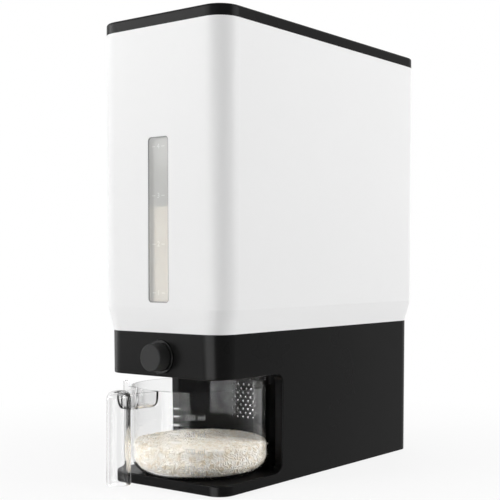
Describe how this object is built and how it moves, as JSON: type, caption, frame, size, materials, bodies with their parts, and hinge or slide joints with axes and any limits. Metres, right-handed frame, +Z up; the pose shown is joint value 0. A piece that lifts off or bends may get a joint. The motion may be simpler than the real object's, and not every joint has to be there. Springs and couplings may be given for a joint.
{
  "type": "rice dispenser",
  "caption": "Tall rice bin on a base with a hinged lid, a level window, a push button that opens a sliding shutter, and a clear measuring cup that pulls out of an open bay.",
  "frame": {"origin": "on the floor, at the middle of the whole object's bounding box, the cup's handle included", "axes": "+Z up, -Y to the front where the button, window and cup are, +X to the right-hand side seen from the back and the left seen from the front"},
  "size_m": [0.1438, 0.3608, 0.4],
  "materials": {
    "white_shell": "smooth semi-gloss white moulding",
    "white_inner": "matt white moulding",
    "black_shell": "smooth satin black moulding",
    "black_cap": "fine matt black",
    "black_liner": "polished black",
    "black_inner": "plain matt black moulding",
    "rubber": "soft matt black",
    "grey_seal": "soft pale grey silicone",
    "steel": "plain zinc-plated",
    "window_clear": "clear, lightly smoked",
    "cup_clear": "clear, polished"
  },
  "bodies": {
    "base": {"base_housing": "black_shell", "bay_liner": "black_liner", "bottom_cover": "black_inner", "rubber_feet": "rubber", "cover_screws": "steel", "button_collar": "black_shell", "return_spring": "steel", "shutter_guide": "black_inner", "outlet_gasket": "rubber", "outlet_chute": "black_inner", "guide_screws": "steel", "bin_shell": "white_shell", "window_gasket": "rubber", "window_pane": "window_clear", "hopper": "white_inner", "bin_screws": "steel", "hinge_pins": "steel"},
    "lid": {"lid": "black_shell", "lid_seal": "grey_seal"},
    "button": {"button_cap": "black_cap", "push_rod": "steel", "shutter_plate": "black_inner"},
    "cup": {"cup": "cup_clear"}
  },
  "joints": [
    {"name": "lid_hinge", "type": "hinge", "parent": "base", "child": "lid", "pos_m": [0, 0.17542, 0.39505], "axis": [-1, 0, 0], "range_deg": [0, 100]},
    {"name": "button_push", "type": "slide", "parent": "base", "child": "button", "axis": [0, 1, 0], "range_m": [0, 0.011], "stiffness_N_per_m": 300, "springref_m": -0.008, "deforming": ["return_spring"]},
    {"name": "cup_slide", "type": "slide", "parent": "base", "child": "cup", "axis": [0, -1, 0], "range_m": [0, 0.14]}
  ]
}
